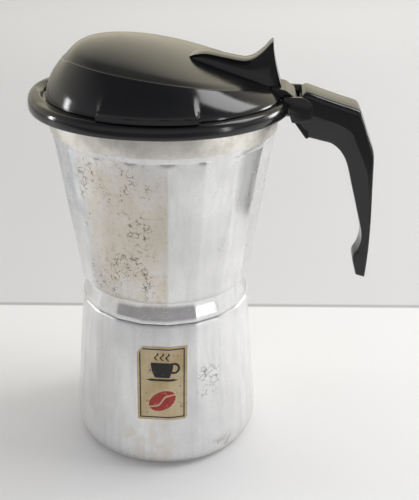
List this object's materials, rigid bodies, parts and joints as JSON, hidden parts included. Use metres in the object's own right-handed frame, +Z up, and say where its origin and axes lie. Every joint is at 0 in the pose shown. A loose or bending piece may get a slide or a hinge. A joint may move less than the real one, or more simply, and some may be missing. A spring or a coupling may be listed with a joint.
{
  "type": "moka pot",
  "caption": "Stove-top moka pot with a facetted aluminium boiler and collector, moulded black collar, hinged lid with thumb fin, and seven-shaped handle.",
  "frame": {"origin": "centre of the boiler's flat base", "axes": "+Z up along the pot's axis, +X towards the handle, -X towards the spout"},
  "size_m": [0.1677, 0.1222, 0.2129],
  "materials": {
    "boiler": "worn satin casting",
    "label": "worn foil sticker",
    "brass": "turned",
    "valve_washer": "matt",
    "steel": "bright",
    "pressed_aluminium": "satin",
    "gasket": "matt",
    "collector": "worn polish",
    "collar": "glossy moulding",
    "lid": "glossy moulding",
    "handle": "glossy moulding"
  },
  "bodies": {
    "base": {"boiler": "boiler", "label": "label", "valve_body": "brass", "valve_washer": "valve_washer", "valve_seat": "brass", "valve_spring": "steel", "funnel": "pressed_aluminium", "funnel_strainer": "pressed_aluminium"},
    "plunger": {"valve_plunger": "steel"},
    "seal": {"gasket": "gasket", "filter_plate": "pressed_aluminium"},
    "top": {"collector": "collector", "column_tube": "pressed_aluminium", "column_cap": "pressed_aluminium", "collar": "collar", "collar_screws": "steel", "hinge_pin": "steel", "handle": "handle", "handle_insert": "brass", "handle_screw": "steel"},
    "lid": {"lid": "lid"}
  },
  "joints": [
    {"name": "collector_lift", "type": "slide", "parent": "base", "child": "seal", "axis": [0, 0, 1], "range_m": [0, 0.00901]},
    {"name": "collector_unscrew", "type": "hinge", "parent": "seal", "child": "top", "pos_m": [0, 0, 0.088], "axis": [0, 0, 1], "range_deg": [0, 810]},
    {"name": "lid_hinge", "type": "hinge", "parent": "top", "child": "lid", "pos_m": [0.0605, 0, 0.1863], "axis": [0, 1, 0], "range_deg": [0, 85]},
    {"name": "valve_plunger_slide", "type": "slide", "parent": "base", "child": "plunger", "axis": [0, 1, 0], "range_m": [0, 0.0015], "stiffness_N_per_m": 800, "springref_m": -0.002, "deforming": ["valve_spring"]}
  ],
  "couplings": [
    {"joint": "collector_lift", "follows": "collector_unscrew", "m_per_rad": 0.00063662}
  ]
}
